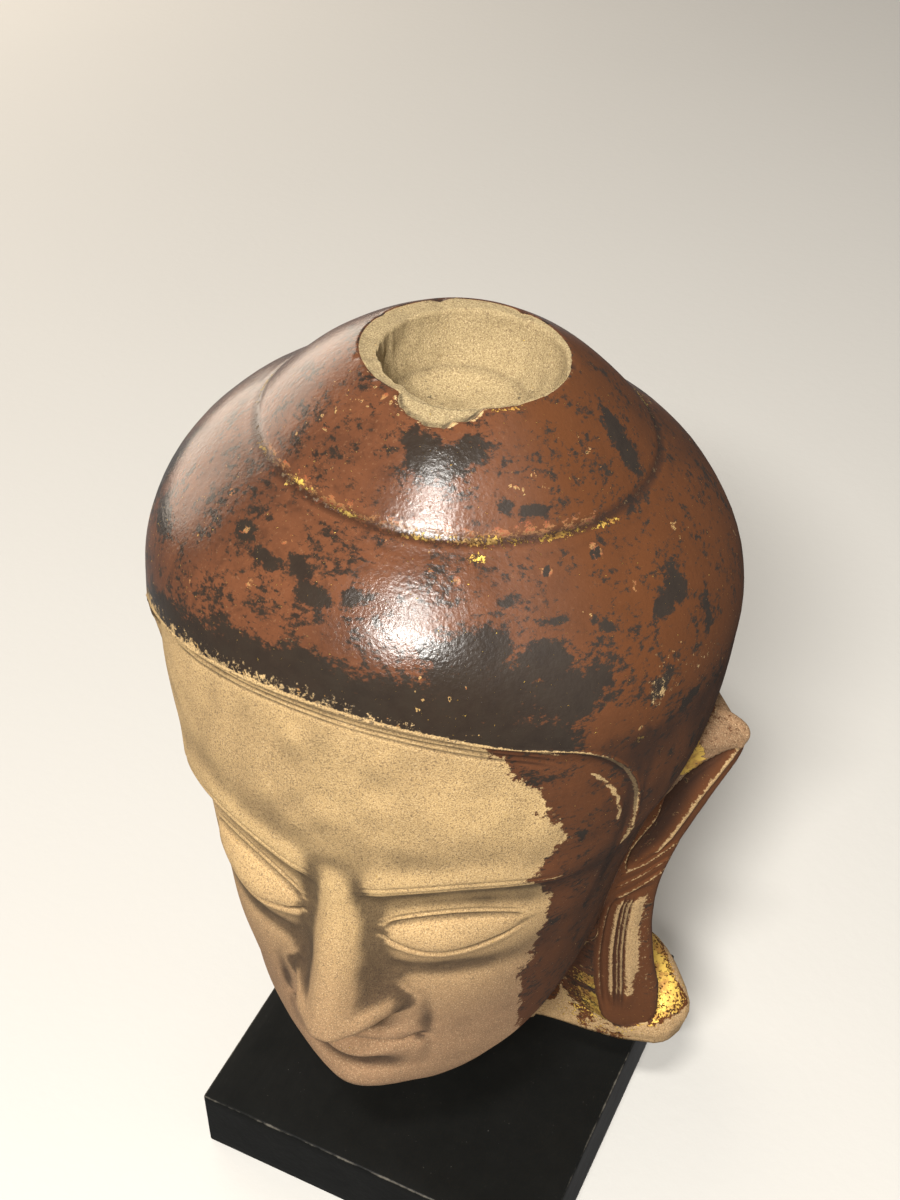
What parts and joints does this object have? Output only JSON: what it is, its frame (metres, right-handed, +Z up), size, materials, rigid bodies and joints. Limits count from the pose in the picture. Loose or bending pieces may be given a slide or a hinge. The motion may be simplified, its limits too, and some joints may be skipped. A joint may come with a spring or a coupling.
{
  "type": "buddha head sculpture",
  "caption": "Carved stone head with smooth domed hair, a broken open top knot and long ears, held on a round rod in a low square block.",
  "frame": {"origin": "centre of the square block's underside", "axes": "+Z up; the face looks towards -Y and the head's own left ear is at +X"},
  "size_m": [0.2972, 0.2869, 0.5615],
  "materials": {
    "lacquered_stone": "sandstone with worn red-brown lacquer, black patches and traces of gold",
    "black_steel": "satin black",
    "black_paint": "satin black paint with worn edges"
  },
  "bodies": {
    "root": {"stone_head": "lacquered_stone", "mounting_rod": "black_steel", "stand_block": "black_paint"}
  },
  "joints": []
}
